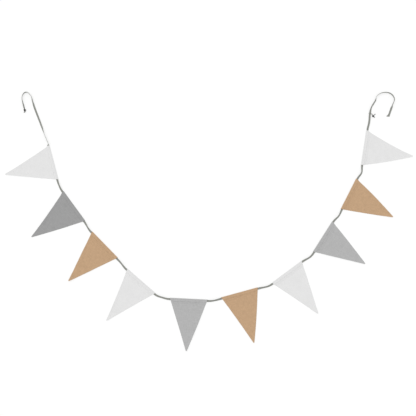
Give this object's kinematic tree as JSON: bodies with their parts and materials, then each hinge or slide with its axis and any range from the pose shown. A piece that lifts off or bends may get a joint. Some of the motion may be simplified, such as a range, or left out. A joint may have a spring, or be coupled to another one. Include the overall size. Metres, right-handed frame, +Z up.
{
  "type": "fabric bunting",
  "caption": "String of triangular cloth pennants threaded on a narrow flat tape through their top hems, laid flat in a wide U with loose tape tails",
  "frame": {"origin": "on the surface that the bunting lies on, under the middle of the pennants' own box", "axes": "+X across the U from its left arm to its right arm, +Y towards the U's open end, +Z up from the surface"},
  "size_m": [1.5144, 0.9569, 0.0087],
  "materials": {
    "cloth_white": "matt plain-weave cotton",
    "cloth_dark_grey": "matt plain-weave cotton",
    "cloth_light_grey": "matt plain-weave cotton",
    "cloth_tan": "matt plain-weave cotton",
    "tape": "matt woven cotton tape",
    "tie_cord": "matt twisted cotton cord"
  },
  "bodies": {
    "root": {"pennant_1": "cloth_white", "pennant_2": "cloth_dark_grey", "pennant_3": "cloth_tan", "pennant_4": "cloth_white", "pennant_5": "cloth_light_grey", "pennant_6": "cloth_tan", "pennant_7": "cloth_white", "pennant_8": "cloth_light_grey", "pennant_9": "cloth_tan", "pennant_10": "cloth_white", "tape": "tape", "tail_tie": "tie_cord"}
  },
  "joints": []
}
